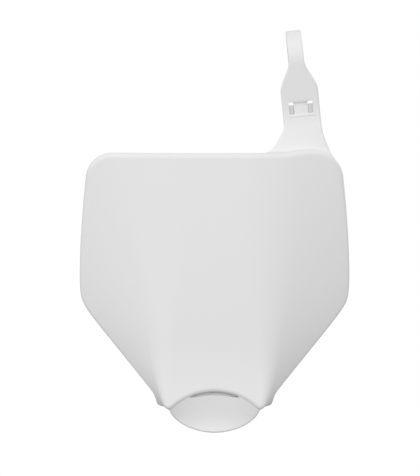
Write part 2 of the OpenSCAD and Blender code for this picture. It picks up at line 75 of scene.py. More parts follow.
@dataclass(frozen=True)
class BoardForm:
    """Sizes of the moulding in millimetres, and the curved face that its pieces follow."""

    plate_w: float = 243.0
    top_z: float = 215.0
    wide_z: float = 83.0
    side_taper: float = 6.5
    side_round: float = 3.3
    lower_slope: float = 0.82
    corner_r: float = 21.0
    wall: float = 2.6
    angle_top: float = 12.5
    angle_gain: float = 27.0
    angle_fold: float = 40.5
    fold_power: float = 7.0
    shoulder_r_top: float = 230.0
    shoulder_r_tip: float = 5.0
    shoulder_power: float = 1.4
    shoulder_x: float = 50.0
    shoulder_run: float = 15.0
    flat_least: float = 6.0
    kick: float = 6.7
    kick_z: float = 45.0
    rim_r_top: float = 5.0
    rim_r_side: float = 3.4
    flange_top: float = 8.0
    flange_side: float = 3.0
    flange_least: float = 0.4
    flange_low: float = 25.0
    flange_run: float = 50.0
    arch_w: float = 81.0
    arch_rise: float = 15.6
    arch_fade: float = 42.0
    tip_z: float = -13.4
    tip_w: float = 3.0
    tip_half: float = 50.0
    tip_slope: float = 0.3
    tip_round: float = 1.0
    tip_rise: float = 1.0
    strap_x: float = 81.3
    neck_rise: float = 3.0
    neck_rise_run: float = 27.0
    rise_shift: float = 4.0
    rise_fade: float = 16.0

    @property
    def tip_shoulder(self) -> float:
        """Half width between the shoulder lines at the tips."""
        return self.arch_w / 2 + self.tip_w

    @property
    def grid_top(self) -> float:
        """Height at which the face turns into the top rim."""
        return self.top_z - self.rim_r_top

    @property
    def grid_corner(self) -> float:
        """Corner radius of the face inside the rim."""
        return self.corner_r - self.rim_r_top

    def drop(self, z: Array) -> Array:
        """Share of the plate's height below the top edge."""
        return np.clip((self.top_z - z) / (self.top_z - self.tip_z), 0, 1)

    def fold_angle(self, z: Array) -> Array:
        """Angle between the front and a side panel, in radians."""
        share = self.drop(z)
        return np.radians(
            self.angle_top + self.angle_gain * share + self.angle_fold * share**self.fold_power
        )

    def fold_radius(self, z: Array) -> Array:
        """Radius of the shoulder between the front and a side panel."""
        share = (1 - self.drop(z)) ** self.shoulder_power
        return self.shoulder_r_tip + (self.shoulder_r_top - self.shoulder_r_tip) * share

    def flat_x(self, z: Array) -> Array:
        """Half width of the flat front."""
        spread = np.exp(-np.maximum(0, z - self.tip_z) / self.shoulder_run)
        fold_x = self.shoulder_x - (self.shoulder_x - self.tip_shoulder) * spread
        turned = self.fold_radius(z) * np.tan(self.fold_angle(z) / 2)
        return np.maximum(self.flat_least, fold_x - turned)

    def fold_end(self, z: Array) -> Array:
        """Half width at which the shoulder ends and the side panel starts."""
        return self.flat_x(z) + self.fold_radius(z) * np.sin(self.fold_angle(z))

    def centre_y(self, z: Array) -> Array:
        """Depth of the face on the centre line, which kicks forward at the bottom."""
        return -self.kick * np.maximum(0, (self.kick_z - z) / (self.kick_z - self.tip_z)) ** 2

    def face_y(self, x: Array, z: Array) -> Array:
        """Depth of the face at any point."""
        a, f, e = np.abs(x), self.flat_x(z), self.fold_end(z)
        r, t = self.fold_radius(z), self.fold_angle(z)
        bend = r - np.sqrt(np.maximum(0, r * r - (a - f) ** 2))
        panel = r * (1 - np.cos(t)) + (a - e) * np.tan(t)
        return self.centre_y(z) + np.where(a <= f, 0, np.where(a <= e, bend, panel))

    def face_normal(self, p: Array) -> Array:
        """Outward normals of the face at points given by their X and Z."""
        return surface_normals(self.face_y, p, 0.05)

    def rim_radius(self, z: Array) -> Array:
        """Outer radius of the turned-back rim."""
        share = smooth((z - self.top_z + 3 * self.corner_r) / (2 * self.corner_r))
        return self.rim_r_side + (self.rim_r_top - self.rim_r_side) * share

    def half_width(self, z: Array) -> Array:
        """Half width of the face inside its rim."""
        run = self.top_z - self.corner_r - self.wide_z
        side = self.plate_w / 2 - self.side_taper * (np.maximum(0, z - self.wide_z) / run) ** 2
        slanted = self.plate_w / 2 - (self.wide_z - z) * self.lower_slope
        channel = self.tip_half + (z - self.tip_z) * self.tip_slope
        lower = blended(slanted, channel, self.tip_round)
        rim = self.rim_radius(z) * (1 - np.sin(self.fold_angle(z)))
        c = np.maximum(0, z - self.grid_top + self.grid_corner)
        corner = np.sqrt(np.maximum(0, self.grid_corner**2 - c * c))
        return blended(side, lower, -self.side_round) - rim - self.grid_corner + corner

    def neck_lift(self, x: Array) -> Array:
        """Rise of the top edge in front of the strap's neck."""
        off = np.minimum(1, np.abs(x - self.strap_x - self.rise_shift) / self.neck_rise_run)
        return self.neck_rise * (1 - off**2) ** 2

    def arch_lift(self, x: Array) -> Array:
        """Rise of the bottom edge over the arch."""
        r = ((self.arch_w / 2) ** 2 + self.arch_rise**2) / (2 * self.arch_rise)
        lift = np.sqrt(np.maximum(0, r * r - x * x)) - r + self.arch_rise
        return np.where(np.abs(x) >= self.arch_w / 2, 0, lift)

    def flange_depth(self, z: Array) -> Array:
        """Depth of the flange behind the rim."""
        up = smooth((z - self.top_z + 2.2 * self.corner_r) / (2 * self.corner_r))
        low = smooth((z - self.tip_z - self.flange_low) / self.flange_run)
        side = self.flange_least + (self.flange_side - self.flange_least) * low
        return side + (self.flange_top - self.flange_side) * up


def unit(v: Array) -> Array:
    """Rows of v at length 1."""
    return v / np.linalg.norm(v, axis=1, keepdims=True)


def surface_normals(depth: Callable[[Array, Array], Array], p: Array, step: float) -> Array:
    """Outward normals of a surface.

    Args:
        depth: the surface's Y at an X and a Z.
        p: points, of which X and Z are read.
        step: half the distance over which the slope is taken.

    Returns:
        One normal for each point.
    """
    x, z = p[:, 0], p[:, 2]
    across = (depth(x + step, z) - depth(x - step, z)) / (2 * step)
    up = (depth(x, z + step) - depth(x, z - step)) / (2 * step)
    return unit(np.stack([across, -np.ones_like(x), up], axis=1))


def away_from(border: Array, normal: Array) -> Array:
    """Directions along a surface that lead off it, at each point of its border."""
    run = np.roll(border, -1, axis=0) - np.roll(border, 1, axis=0)
    run = run - normal * np.sum(run * normal, axis=1, keepdims=True)
    return unit(np.cross(run, normal))


def border_loop(nx: int, ny: int) -> Array:
    """Vertex numbers of a grid's border, anticlockwise from the front."""
    width = nx + 1
    loop = list(range(width)) + [j * width + nx for j in range(1, ny + 1)]
    loop += [ny * width + i for i in range(nx - 1, -1, -1)]
    return np.array(loop + [j * width for j in range(ny - 1, 0, -1)])


def smooth(t: Array) -> Array:
    """Smooth step from 0 to 1."""
    c = np.clip(t, 0, 1)
    return c * c * (3 - 2 * c)


def blended(a: Array, b: Array, r: float) -> Array:
    """Greater of a and b where r is positive, smaller where it isn't, with the change rounded."""
    return (a + b) / 2 + math.copysign(1, r) * np.sqrt(((a - b) / 2) ** 2 + r * r)


FORM = BoardForm()


# Modelling tools


def pick(obj: bpy.types.Object) -> None:
    """Makes obj the only selected object, and the active one."""
    bpy.ops.object.select_all(action="DESELECT")
    obj.select_set(True)
    bpy.context.view_layer.objects.active = obj


def start_edit(obj: bpy.types.Object) -> None:
    """Picks obj and opens it in edit mode."""
    pick(obj)
    bpy.ops.object.mode_set(mode="EDIT")


def end_edit() -> None:
    """Goes back to object mode."""
    bpy.ops.object.mode_set(mode="OBJECT")


def points_of(obj: bpy.types.Object) -> Array:
    """Vertex places of obj in millimetres."""
    flat = np.zeros(len(obj.data.vertices) * 3)
    obj.data.vertices.foreach_get("co", flat)
    return flat.reshape(-1, 3) / MM


def place_points(obj: bpy.types.Object, points: Array) -> None:
    """Puts the vertices of obj at points in millimetres."""
    obj.data.vertices.foreach_set("co", (points * MM).ravel())
    obj.data.update()


def named_active(name: str) -> bpy.types.Object:
    """Names the object that an operator just added, and its mesh."""
    obj = bpy.context.object
    obj.name = name
    obj.data.name = name
    return obj


def modify(obj: bpy.types.Object, kind: str, **settings: Any) -> None:
    """Adds a modifier to obj and applies it.

    Args:
        obj: the object.
        kind: the modifier's type.
        settings: the modifier's properties.
    """
    modifier = obj.modifiers.new(kind.lower(), kind)
    for key, value in settings.items():
        setattr(modifier, key, value)
    pick(obj)
    bpy.ops.object.modifier_apply(modifier=modifier.name)


def select_open_edges(obj: bpy.types.Object) -> None:
    """Selects the edges on the open borders of obj, and leaves it in object mode."""
    start_edit(obj)
    bpy.ops.mesh.select_all(action="DESELECT")
    mesh = bmesh.from_edit_mesh(obj.data)
    for edge in mesh.edges:
        edge.select_set(edge.is_boundary)
    bmesh.update_edit_mesh(obj.data)
    end_edit()


def flat_grid(name: str, nx: int, ny: int) -> tuple[bpy.types.Object, Array]:
    """Grid with its corners at 1 and -1, and its points."""
    bpy.ops.object.select_all(action="DESELECT")
    bpy.ops.mesh.primitive_grid_add(x_subdivisions=nx, y_subdivisions=ny, size=2)
    obj = named_active(name)
    return obj, points_of(obj) * MM


def extrude_to(obj: bpy.types.Object, ring: Array, target: Array) -> Array:
    """Extrudes the selected border or cap of obj and puts the new ring at its place.

    Args:
        obj: the object, in object mode, with the last ring selected.
        ring: vertex numbers of the last ring, in order.
        target: the new ring's points in millimetres, in the same order.

    Returns:
        Vertex numbers of the new ring, in order.
    """
    count = len(obj.data.vertices)
    has_face = any(p.select for p in obj.data.polygons)
    start_edit(obj)
    if has_face:
        bpy.ops.mesh.extrude_region_move()
    else:
        bpy.ops.mesh.extrude_edges_move()
    end_edit()
    old = {tuple(obj.data.vertices[i].co): n for n, i in enumerate(ring)}
    new_ring = np.zeros(len(ring), int)
    for vertex in obj.data.vertices:
        if vertex.select:
            new_ring[old[tuple(vertex.co)]] = vertex.index
    assert len(obj.data.vertices) == count + len(ring)
    points = points_of(obj)
    points[new_ring] = target
    place_points(obj, points)
    return new_ring


def sweep(name: str, rings: list[Array]) -> bpy.types.Object:
    """Closed piece that passes through rings of points, from a flat cap by extrusion.

    Args:
        name: the new object's name.
        rings: the rings in millimetres, each with the same number of points.
    """
    bpy.ops.object.select_all(action="DESELECT")
    bpy.ops.mesh.primitive_circle_add(vertices=len(rings[0]), radius=1, fill_type="NGON")
    obj = named_active(name)
    place_points(obj, rings[0])
    order = np.arange(len(rings[0]))
    for ring in rings[1:]:
        order = extrude_to(obj, order, ring)
    face_outwards(obj)
    return obj


def face_outwards(obj: bpy.types.Object) -> None:
    """Points the faces of a closed piece outwards."""
    start_edit(obj)
    bpy.ops.mesh.select_all(action="SELECT")
    bpy.ops.mesh.normals_make_consistent(inside=False)
    bpy.ops.mesh.select_all(action="DESELECT")
    end_edit()


def round_edges(obj: bpy.types.Object, width: float, angle: float = 50, segments: int = 2) -> None:
    """Rounds the sharp edges of obj, by a width in millimetres."""
    modify(
        obj,
        "BEVEL",
        width=width * MM,
        segments=segments,
        limit_method="ANGLE",
        angle_limit=math.radians(angle),
        use_clamp_overlap=True,
    )


# Pieces


@dataclass
class FacePlate:
    """Curved plate with its turned-back rim and flange, one wall thick all over."""

    form: BoardForm = FORM
    cells_front: int = 5
    cells_shoulder: int = 6
    cells_panel: int = 4
    rows_low: int = 12
    rows_mid: int = 16
    rows_corner: int = 6
    across: int = 4
    along: int = 3
    rim_steps: int = 8
    row_growth: float = 1.15
    over_kick: float = 8.0
    edge_round: float = 0.5

    @property
    def cols(self) -> int:
        """Cells from the centre line to a side."""
        return self.cells_front + self.cells_shoulder + self.cells_panel

    @property
    def rows(self) -> int:
        """Cells from the tips to the top edge."""
        return self.rows_low + self.rows_mid + self.rows_corner

    def row_height(self, j: Array) -> Array:
        """Height of a grid row, before the arch lifts it."""
        form = self.form
        base = form.tip_z + form.rim_r_side
        low_run = form.kick_z + self.over_kick - form.tip_z
        corner_z = form.grid_top - form.grid_corner
        low_share = np.clip(j, 0, self.rows_low) / self.rows_low
        low = base + low_run * low_share**self.row_growth
        mid = base + low_run + (corner_z - base - low_run) * (j - self.rows_low) / self.rows_mid
        turn = np.clip((j - self.rows_low - self.rows_mid) / self.rows_corner, 0, 1)
        corner = corner_z + form.grid_corner * np.sin(turn * math.pi / 2)
        return np.where(
            j <= self.rows_low, low, np.where(j <= self.rows_low + self.rows_mid, mid, corner)
        )

    def face_points(self, k: Array, j: Array) -> Array:
        """Points of the face at grid places k across and j up."""
        form = self.form
        z = self.row_height(j)
        a, f, e, w = np.abs(k), form.flat_x(z), form.fold_end(z), form.half_width(z)
        turn = np.clip((a - self.cells_front) / self.cells_shoulder, 0, 1)
        shoulder = f + form.fold_radius(z) * np.sin(form.fold_angle(z) * turn)
        panel = e + (w - e) * (a - self.cells_front - self.cells_shoulder) / self.cells_panel
        x = np.sign(k) * np.where(
            a <= self.cells_front,
            f * a / self.cells_front,
            np.where(a <= self.cells_front + self.cells_shoulder, shoulder, panel),
        )
        base = form.tip_z + form.rim_r_side
        fade = np.clip((z - base) / form.arch_fade, 0, 1)
        reach = form.half_width(np.full_like(z, base)) - form.tip_shoulder
        rear = form.tip_rise * np.clip((np.abs(x) - form.tip_shoulder) / reach, 0, 1)
        neck = form.neck_lift(x) * smooth(1 - (form.grid_top - z) / form.rise_fade)
        z = z + form.arch_lift(x) * (1 - fade) ** 2 + neck
        z = z + rear * (1 - np.clip(2 * fade, 0, 1)) ** 2
        return np.stack([x, form.face_y(x, z), z], axis=1)

    def rim_ring(self, border: Array, turned: float, inset: float, flange: float) -> Array:
        """One ring of the rim.

        Args:
            border: points of the face's border, in order.
            turned: share of the rim's turn, from 0 on the face to 1.
            inset: distance inside the outer skin.
            flange: share of the flange's depth.
        """
        form = self.form
        normal = form.face_normal(border)
        out = away_from(border, normal)
        r = form.rim_radius(border[:, 2])[:, None]
        a = (np.arccos(np.clip(out[:, 1], -1, 1)) * turned)[:, None]
        radial = out * np.sin(a) + normal * np.cos(a)
        ahead = out * np.cos(a) - normal * np.sin(a)
        depth = form.flange_depth(border[:, 2])[:, None] * flange
        return border - normal * r + radial * (r - inset) + ahead * depth

    def skin(self, name: str, inset: float) -> tuple[bpy.types.Object, Array]:
        """One skin of the wall, from a grid whose border is extruded into the rim.

        Args:
            name: the object's name.
            inset: distance inside the outer skin.

        Returns:
            The skin, and the vertex numbers of its last ring.
        """
        nx, ny = 2 * self.cols * self.across, self.rows * self.along
        obj, grid = flat_grid(name, nx, ny)
        places = np.round((grid[:, 0] + 1) / 2 * nx), np.round((grid[:, 1] + 1) / 2 * ny)
        numbers = (places[1] * (nx + 1) + places[0]).astype(int)
        assert np.array_equal(numbers, np.arange(len(grid)))
        face = self.face_points(places[0] / self.across - self.cols, places[1] / self.along)
        place_points(obj, face - self.form.face_normal(face) * inset)
        order = border_loop(nx, ny)
        border = face[order]
        select_open_edges(obj)
        steps = [(s / self.rim_steps, 0.0) for s in range(1, self.rim_steps + 1)]
        for turned, flange in steps + [(1.0, 0.5), (1.0, 1.0)]:
            order = extrude_to(obj, order, self.rim_ring(border, turned, inset, flange))
        return obj, order

    def build(self) -> bpy.types.Object:
        """The closed plate."""
        outer, order = self.skin("face_plate", 0.0)
        inner, inner_order = self.skin("face_plate_inner", self.form.wall)
        extrude_to(outer, order, points_of(inner)[inner_order])
        join_skins(outer, inner)
        round_edges(outer, self.edge_round)
        return outer


@dataclass
class StrapPath:
    """Side view of the handlebar strap: straight and curved legs, one after the other."""

    form: BoardForm = FORM
    strap_lean: float = 5.7
    paddle_w: float = 33.6
    strip_w: float = 13.8
    strap_t: float = 3.0
    strip_t: float = 2.4
    spread_in: float = 45.0
    spread_out: float = 10.0
    flare_slow: float = 0.42
    flare_fast: float = 0.58
    flare_power: float = 1.7
    root_run: float = 4.0
    root_angle: float = 8.0
    root_proud: float = -0.3
    root_r: float = 5.0
    neck_lean: float = 12.0
    neck_len: float = 21.0
    sway_r: float = 50.0
    paddle_lean: float = 13.0
    paddle_len: float = 33.0
    neck_down: float = 28.5
    reach: float = 36.0
    bar_r: float = 24.0
    bend_end: float = -80.0
    tail_len: float = 46.0
    legs: list[tuple[float, float]] = field(default_factory=list)
    starts: list[tuple[float, float, Array]] = field(default_factory=list)

    def __post_init__(self) -> None:
        """Works out the legs and where each of them starts."""
        root_turn = 90 - self.neck_lean - self.root_angle
        sway_turn = self.neck_lean + self.paddle_lean
        bar_turn = self.bend_end - 90 - self.paddle_lean
        self.legs = [
            (self.root_run, 0.0),
            (self.root_r * math.radians(root_turn), root_turn),
            (self.neck_len, 0.0),
            (self.sway_r * math.radians(sway_turn), sway_turn),
            (self.reach, 0.0),
            (-self.bar_r * math.radians(bar_turn), bar_turn),
            (self.tail_len, 0.0),
        ]
        s, angle = 0.0, self.root_angle
        place = np.array([self.form.rim_r_top - 1, self.root_proud - self.strap_t / 2])
        for run, turn in self.legs:
            self.starts.append((s, angle, place))
            place = place + self.move(run, angle, turn)
            s, angle = s + run, angle + turn

    @staticmethod
    def move(run: float, angle: float, turn: float) -> Array:
        """Movement along a leg, in its side view, in Y and Z."""
        a, b = math.radians(angle), math.radians(angle + turn)
        if turn == 0:
            return run * np.array([math.cos(a), math.sin(a)])
        r = run / math.radians(turn)
        return r * np.array([math.sin(b) - math.sin(a), math.cos(a) - math.cos(b)])

    def at(self, s: float) -> tuple[Array, float]:
        """Place and heading in degrees at a distance along the path."""
        leg = max(i for i, start in enumerate(self.starts) if start[0] <= s + 1e-9)
        start, angle, place = self.starts[leg]
        run, turn = self.legs[leg]
        part = turn * (s - start) / run
        return place + self.move(s - start, angle, part), angle + part

    @property
    def s_neck(self) -> float:
        """Upper end of the straight neck."""
        return self.starts[3][0]

    @property
    def s_tail(self) -> float:
        """Start of the straight tail."""
        return self.starts[6][0]

    @property
    def s_end(self) -> float:
        """Tip of the tail."""
        return self.s_tail + self.tail_len

    @property
    def root(self) -> Array:
        """Middle of the root, on the top edge."""
        form = self.form
        y = form.face_y(np.array([form.strap_x]), np.array([form.grid_top]))[0]
        return np.array([form.strap_x, y, form.top_z])

    def root_share(self, s: float) -> float:
        """Share of the root's shape, from 1 at the foot to 0 at the neck's upper end."""
        return min(1.0, max(0.0, (self.s_neck - s) / self.s_neck))

    def narrowing(self, s: float) -> float:
        """Share of the way from the paddle to the strip."""
        return float(smooth(np.array((s - self.s_neck - self.paddle_len) / self.neck_down)))

    def half(self, s: float) -> float:
        """Half width of the band, with its round end."""
        tip = self.strip_w / 2
        e = min(1.0, max(0.0, (s - self.s_end + tip) / tip))
        width = self.paddle_w + (self.strip_w - self.paddle_w) * self.narrowing(s)
        return width / 2 * math.sqrt(max(0.04, 1 - e * e))

    def thickness(self, s: float) -> float:
        """Thickness of the band."""
        return self.strap_t + (self.strip_t - self.strap_t) * self.narrowing(s)

    def corner_drop(self, x: Array) -> Array:
        """Drop of the top edge at the plate's rounded corner."""
        form = self.form
        start = form.plate_w / 2 - form.side_taper - form.corner_r
        c = np.clip(np.abs(x) - start, 0, form.corner_r)
        return form.corner_r - np.sqrt(form.corner_r**2 - c * c)

    def foot_shift(self, x: Array, s: float) -> Array:
        """Movement that lays the foot of the strap on the curved top edge."""
        form, q = self.form, self.root_share(s)
        back = form.face_y(x, np.full_like(x, form.grid_top)) - self.root[1]
        rise = form.neck_lift(x) - self.corner_drop(x)
        return np.stack([np.zeros_like(x), back * q**1.5, rise * q**3], axis=1)

    def place(self, local: Array, s: float) -> Array:
        """Puts points of a band ring, in X across, Y back and Z up, on the board."""
        q, lean = self.root_share(s), math.radians(self.strap_lean)
        x = local[:, 0] * math.cos(lean) - local[:, 2] * math.sin(lean)
        z = local[:, 0] * math.sin(lean) * (1 - q) + local[:, 2] * math.cos(lean)
        world = self.root + np.stack([x, local[:, 1], z], axis=1)
        return world + self.foot_shift(world[:, 0], s)

    def on_strap(self, s: float) -> Callable[[Array], Array]:
        """Movement of a piece onto the strap: Z runs along the path and the front faces -Y."""
        place, heading = self.at(s)
        a, lean = math.radians(heading - 90), math.radians(self.strap_lean)

        def moved(p: Array) -> Array:
            """Points on the strap."""
            y = p[:, 1] * math.cos(a) - p[:, 2] * math.sin(a) + place[0]
            z = p[:, 1] * math.sin(a) + p[:, 2] * math.cos(a) + place[1]
            x = p[:, 0] * math.cos(lean) - z * math.sin(lean)
            return self.root + np.stack([x, y, p[:, 0] * math.sin(lean) + z * math.cos(lean)], 1)

        return moved


PATH = StrapPath()


@dataclass
class Window:
    """Window in the paddle, with the sizes that its buckle shares."""

    width: float = 21.4
    height: float = 11.0
    up: float = 18.0
    path: StrapPath = field(default_factory=lambda: PATH)

    @property
    def s_mid(self) -> float:
        """Distance of the window's middle along the path."""
        return self.path.s_neck + self.up


@dataclass
class BarStrap:
    """Flexible band with its flared root, paddle, window, strip and round end."""

    path: StrapPath = field(default_factory=lambda: PATH)
    window: Window = field(default_factory=Window)
    edge_steps: int = 8
    side_columns: int = 6
    steps: tuple[int, ...] = (6, 18, 14, 14, 16, 48)
    tail_steps: int = 6
    tip_steps: int = 10
    window_round: float = 0.35

    def columns(self) -> list[float]:
        """Shares of the flat half width at which the band has its columns, right to left."""
        path = self.path
        edge = (self.window.width / 2) / (path.paddle_w / 2 - path.strap_t / 2)
        outer = [1 - (1 - edge) * i / self.side_columns for i in range(1, self.side_columns)]
        inner = [edge * (1 - i / 4) for i in range(4)]
        right = outer + inner
        return right + [0.0] + [-q for q in reversed(right)]

    def ring(self, s: float) -> Array:
        """Ring of the band: right edge, front, left edge and rear."""
        path = self.path
        (y, z), heading = path.at(s)
        r, q = path.thickness(s) / 2, path.root_share(s)
        spread_in = path.spread_in * (path.flare_slow * q + path.flare_fast * q**6)
        right = path.half(s) + path.spread_out * q**path.flare_power - r
        left = path.half(s) + spread_in - r
        turns = [math.pi / 2 - math.pi * i / self.edge_steps for i in range(self.edge_steps + 1)]
        flat = self.columns()
        across = [right + r * math.cos(b) for b in turns]
        height = [r * math.sin(b) for b in turns]
        across += [q_ * (right if q_ > 0 else left) for q_ in flat]
        height += [-r] * len(flat)
        across += [-left - r * math.cos(b) for b in turns]
        height += [-r * math.sin(b) for b in turns]
        across += [q_ * (right if q_ > 0 else left) for q_ in reversed(flat)]
        height += [r] * len(flat)
        a, h = math.radians(heading), np.array(height)
        local = np.stack([np.array(across), y - math.sin(a) * h, z + math.cos(a) * h], axis=1)
        return path.place(local, s)

    def stations(self) -> list[float]:
        """Distances along the path at which the band has its rings."""
        path, tip = self.path, self.path.strip_w / 2
        found = []
        for leg, count in enumerate(self.steps):
            start, run = path.starts[leg][0], path.legs[leg][0]
            found += [start + run * i / count for i in range(count)]
        low, high = (self.window.s_mid + side * self.window.height / 2 for side in (-1, 1))
        found = [s for s in found if min(abs(s - low), abs(s - high)) > 0.8] + [low, high]
        run = path.tail_len - tip
        found += [path.s_tail + run * i / self.tail_steps for i in range(self.tail_steps)]
        turns = [math.pi / 2 * i / self.tip_steps for i in range(self.tip_steps + 1)]
        return sorted(found + [path.s_end - tip + tip * math.sin(t) for t in turns])

    def build(self) -> bpy.types.Object:
        """The closed band with its window."""
        stations = self.stations()
        obj = sweep("handlebar_strap", [self.ring(s) for s in stations])
        self.open_window(obj, stations)
        face_outwards(obj)
        round_edges(obj, self.window_round, angle=60)
        return obj

    def open_window(self, obj: bpy.types.Object, stations: list[float]) -> None:
        """Takes out the faces of the window and bridges its front and rear rims."""
        low, high = (self.window.s_mid + side * self.window.height / 2 for side in (-1, 1))
        first, last = stations.index(low), stations.index(high)
        inside = self.local_points(obj)
        half_w = self.window.width / 2 + 0.01
        start_edit(obj)
        bpy.ops.mesh.select_all(action="DESELECT")
        mesh = bmesh.from_edit_mesh(obj.data)
        count = len(self.ring(0.0))
        for face in mesh.faces:
            rows = [v.index // count for v in face.verts]
            within = all(abs(inside[v.index, 0]) < half_w for v in face.verts)
            face.select_set(within and min(rows) >= first and max(rows) <= last)
        bmesh.update_edit_mesh(obj.data)
        bpy.ops.mesh.delete(type="FACE")
        end_edit()
        select_open_edges(obj)
        start_edit(obj)
        bpy.ops.mesh.bridge_edge_loops()
        bpy.ops.mesh.select_all(action="DESELECT")
        end_edit()

    def local_points(self, obj: bpy.types.Object) -> Array:
        """Points of the strap with its lean taken out: X is measured across the band."""
        lean = math.radians(self.path.strap_lean)
        p = points_of(obj) - self.path.root
        x = p[:, 0] * math.cos(lean) + p[:, 2] * math.sin(lean)
        return np.stack([x, p[:, 1], p[:, 2]], axis=1)


def prism(
    name: str,
    outline: Iterable[tuple[float, float]],
    width: float,
    at_x: float = 0.0,
    rounding: float = 0.3,
    moved: Callable[[Array], Array] | None = None,
) -> bpy.types.Object:
    """Side-view outline extruded across X about its middle, with rounded edges.

    Args:
        name: the piece's name.
        outline: points in Y and Z.
        width: width across X.
        at_x: middle of the piece.
        rounding: edge radius.
        moved: movement of the finished piece, such as onto the strap.
    """
    yz = np.array(list(outline), float)
    rings = [np.column_stack([np.full(len(yz), at_x + side * width / 2), yz]) for side in (-1, 1)]
    obj = sweep(name, rings)
    if rounding:
        round_edges(obj, rounding, angle=35)
    if moved:
        place_points(obj, moved(points_of(obj)))
    return obj


@dataclass
class Buckle:
    """Locking tongue in the window, the lip below it and the housing behind it."""

    window: Window = field(default_factory=Window)
    depth: float = 6.0
    wall: float = 1.8
    tongue_w: float = 12.6
    tongue_over: float = 0.8
    tongue_tilt: float = 13.0
    lip_h: float = 3.0
    lip_proud: float = 1.0
    notch_in: float = 1.9
    notch_h: float = 2.1
    bridge_drop: float = 3.6

    def build(self) -> list[bpy.types.Object]:
        """The buckle's pieces, placed on the strap."""
        window, half_t = self.window, self.window.path.strap_t / 2
        on_strap = window.path.on_strap(window.s_mid)
        rear, inner_w = half_t + self.depth, window.width + 0.4
        low, high = -window.height / 2, window.height / 2
        side = [
            (0, low - self.wall),
            (rear, low - self.wall),
            (rear, high - self.bridge_drop),
            (half_t, high + self.wall),
            (0, high + self.wall),
        ]
        floor = [
            (0, low - self.wall),
            (rear, low - self.wall),
            (rear, high - self.bridge_drop),
            (rear - self.wall, high - self.bridge_drop),
            (rear - self.wall, low),
            (0, low),
        ]
        shares = [(0.15, 0.1), (-0.35, 0.03), (-0.8, -0.35), (-1, -0.62)]
        shares += [(-0.85, -0.85), (0.2, -1.1)]
        lip = [(0.6, 0.1 * self.lip_h)]
        lip += [(y * self.lip_proud, z * self.lip_h) for y, z in shares]
        lip = [(y - half_t, z + low) for y, z in lip + [(0.6, -1.1 * self.lip_h)]]
        found = [
            prism(f"buckle_side_{name}", side, self.wall, at_x=x, moved=on_strap)
            for name, x in (
                ("left", -(inner_w + self.wall) / 2),
                ("right", (inner_w + self.wall) / 2),
            )
        ]
        found.append(prism("buckle_floor", floor, inner_w + self.wall, moved=on_strap))
        found.append(prism("window_lip", lip, window.width + 2, moved=on_strap))
        found.append(self.tongue(on_strap))
        return found

    def tongue(self, on_strap: Callable[[Array], Array]) -> bpy.types.Object:
        """Tongue that leans into the window, with a barb at the rear of its free end."""
        half_t, reach = self.window.path.strap_t / 2, self.window.height + self.tongue_over
        outline = [
            (-half_t, 0),
            (half_t - 0.4, 0),
            (half_t - 1.2, reach / 2),
            (half_t + 0.9, reach - 1.4),
            (half_t + 0.3, reach),
            (-half_t + 0.4 + self.notch_in, reach),
            (-half_t + 0.3 + self.notch_in, reach - self.notch_h),
            (-half_t + 0.3, reach - self.notch_h - 0.2),
        ]
        a = math.radians(-self.tongue_tilt)
        low = -self.window.height / 2 - 0.2
        turned = [
            (y * math.cos(a) - z * math.sin(a), y * math.sin(a) + z * math.cos(a) + low)
            for y, z in outline
        ]
        return prism("locking_tongue", turned, self.tongue_w, moved=on_strap)


@dataclass
class TailTeeth:
    """Row of saw teeth on the rear of the tail, which the tongue catches."""

    path: StrapPath = field(default_factory=lambda: PATH)
    pitch: float = 3.0
    height: float = 1.0
    margin: float = 3.0
    rise: float = 0.85
    fall: float = 0.95

    def build(self) -> bpy.types.Object:
        """The teeth, placed on the tail."""
        back = -self.path.strip_t / 2
        count = math.floor((self.path.tail_len - self.path.strip_w) / self.pitch)
        outline = [(back + 0.3, count * self.pitch), (back + 0.3, 0)]
        for i in range(count):
            outline += [
                (back, i * self.pitch),
                (back - self.height, (i + self.rise) * self.pitch),
                (back, (i + self.fall) * self.pitch),
            ]
        moved = self.path.on_strap(self.path.s_tail + 2)
        width = self.path.strip_w - self.margin
        return prism("tail_teeth", outline, width, rounding=0.08, moved=moved)


